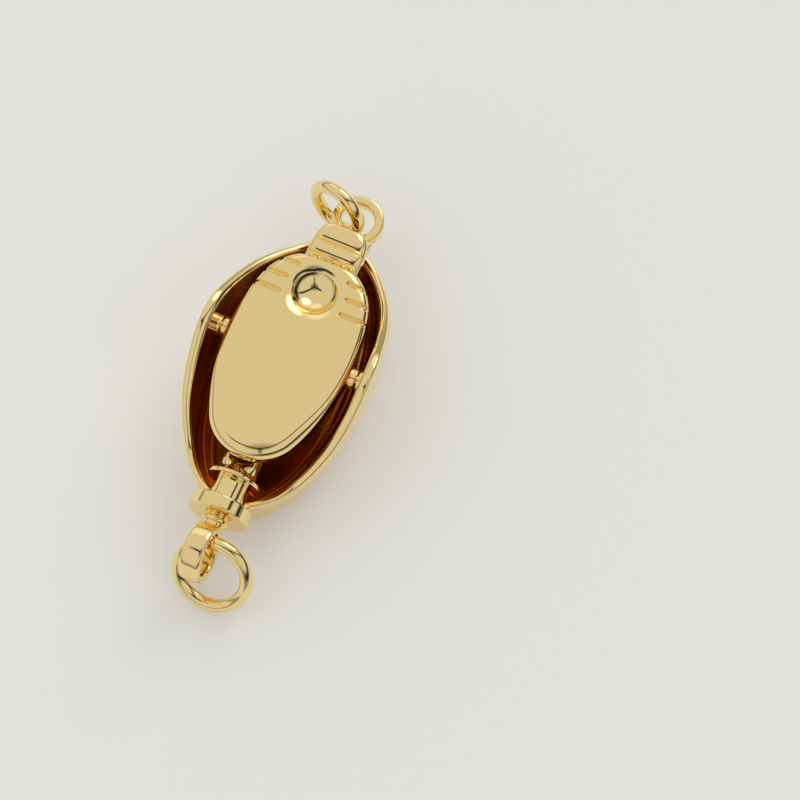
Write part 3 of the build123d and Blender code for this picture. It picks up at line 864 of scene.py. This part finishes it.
def add_camera():
    """Camera at the photograph's angle, with the clasp in the same place of the picture."""
    right, up, back = camera_axes()
    per_pixel = FIELD_WIDTH / PICTURE_SIZE
    off_right = (PICTURE_SIZE / 2 - ORIGIN_IN_PICTURE[0]) * per_pixel
    off_up = (ORIGIN_IN_PICTURE[1] - PICTURE_SIZE / 2) * per_pixel
    target = off_right * right + off_up * up
    data = bpy.data.cameras.new("camera")
    data.sensor_width = SENSOR
    data.lens = SENSOR * CAMERA_DISTANCE / FIELD_WIDTH
    data.clip_start = 1 * MM
    camera = bpy.data.objects.new("camera", data)
    bpy.context.scene.collection.objects.link(camera)
    turned_axes = Matrix((right, up, back)).transposed().to_4x4()
    camera.matrix_world = Matrix.Translation(target + back * CAMERA_DISTANCE) @ turned_axes
    bpy.context.scene.camera = camera


def add_floor():
    """Pale floor under the clasp."""
    signs = ((-1, -1), (1, -1), (1, 1), (-1, 1))
    corners = [(side * FLOOR_REACH, end * FLOOR_REACH, 0) for side, end in signs]
    mesh = bpy.data.meshes.new("floor")
    mesh.from_pydata(corners, [], [(0, 1, 2, 3)])
    floor = bpy.data.objects.new("floor", mesh)
    bpy.context.scene.collection.objects.link(floor)
    made = bpy.data.materials.new("floor")
    made.use_nodes = True
    shader = Shader(made.node_tree)
    surface = shader.node("ShaderNodeBsdfPrincipled", Roughness=FLOOR_ROUGHNESS)
    surface.inputs["Emission Strength"].default_value = FLOOR_GLOW
    surface.inputs["Base Color"].default_value = (FLOOR_WHITE, FLOOR_WHITE, FLOOR_WHITE, 1.0)
    surface.inputs["Emission Color"].default_value = (1.0, 1.0, 1.0, 1.0)
    shader.node("ShaderNodeOutputMaterial", Surface=surface.outputs[0])
    mesh.materials.append(made)


def add_studio():
    """Soft tent of light with two brighter windows. Its dark patches are the opening round the lens, three
    seams that meet near it like a Y, a wedge low on the right, a corner low between the picture's right and
    its foot, and a thin line above the floor. Each is a smooth ramp or a product of ramps."""
    world = bpy.data.worlds.new("studio")
    bpy.context.scene.world = world
    world.use_nodes = True
    shader = Shader(world.node_tree)
    place = shader.node("ShaderNodeTexCoord").outputs["Generated"]
    right, up, back = camera_axes()
    right_flat, up_flat = [Vector((axis.x, axis.y, 0)).normalized() for axis in (right, up)]
    aside, ahead = shader.along(place, right_flat), shader.along(place, up_flat)
    rise = shader.along(place, (0, 0, 1))
    light = TENT_LIGHT
    for turn_deg, rise_deg, gain, patch in TENT_WINDOWS:
        turn, lift = math.radians(turn_deg), math.radians(rise_deg)
        level = (math.cos(turn) * right_flat + math.sin(turn) * up_flat).normalized()
        middle = level * math.cos(lift) + Vector((0, 0, math.sin(lift)))
        light = light + gain * shader.ramp(shader.along(place, middle), *patch)
    opening = shader.ramp(shader.along(place, back), *OPENING)
    off_aside = shader.maths("ABSOLUTE", aside)
    fold = shader.maths("ABSOLUTE", ahead + SEAM_DIP - SEAM_LEAN * off_aside)
    across = shader.ramp(fold, *CROSS_SEAM)
    across = across * shader.ramp(aside, *CROSS_SEAM_START) * shader.ramp(aside, *CROSS_SEAM_END)
    down = shader.ramp(off_aside, *DOWN_SEAM)
    down = down * shader.ramp(ahead, *DOWN_SEAM_START) * shader.ramp(ahead, *DOWN_SEAM_END)
    wedge_way = shader.along(place, (right_flat + WEDGE_LEAN * up_flat).normalized())
    wedge = shader.ramp(wedge_way, *WEDGE_SIDE) * shader.ramp(rise, *WEDGE_TOP)
    corner_way = shader.along(place, (right_flat - up_flat).normalized())
    corner = shader.ramp(corner_way, *CORNER_SIDE)
    corner = corner * shader.ramp(rise, *CORNER_TOP) * shader.ramp(rise, *CORNER_FOOT)
    line = shader.ramp(rise, *LINE_FOOT) * shader.ramp(rise, *LINE_TOP)
    darks = ((opening, OPENING_DARK), (across, SEAM_DARK), (down, DOWN_SEAM_DARK),
             (wedge, WEDGE_DARK), (corner, CORNER_DARK), (line, LINE_DARK))
    for mask, dark in darks:
        light = light * (1 - dark * mask)
    glow = shader.node("ShaderNodeBackground", Strength=light)
    glow.inputs["Color"].default_value = (*TENT_COLOUR, 1.0)
    shader.node("ShaderNodeOutputWorld", Surface=glow.outputs[0])
    bpy.context.scene.view_settings.view_transform = "Standard"


gold = gold_material("gold_plate", GOLD, GOLD_ROUGHNESS)
# Inside of the shell: satin gold, darkened and browned as painted shade
inside = gold_material("gold_inside_painted_shade", SHADED_INSIDE_GOLD, INSIDE_ROUGHNESS)
add_shell(gold, inside)
add_hinge(gold)
add_lever_cap(gold)
add_lever_tab(gold)
add_post(gold)
add_fixed_eye(gold)
add_ring("small_ring", "fixed_end_jump_ring", SMALL_RING_RADIUS, SMALL_RING_NORMAL, "shell", gold)
add_ring("large_ring", "swivel_end_jump_ring", LARGE_RING_RADIUS, LARGE_RING_NORMAL, "post", gold)
add_camera()
add_floor()
add_studio()
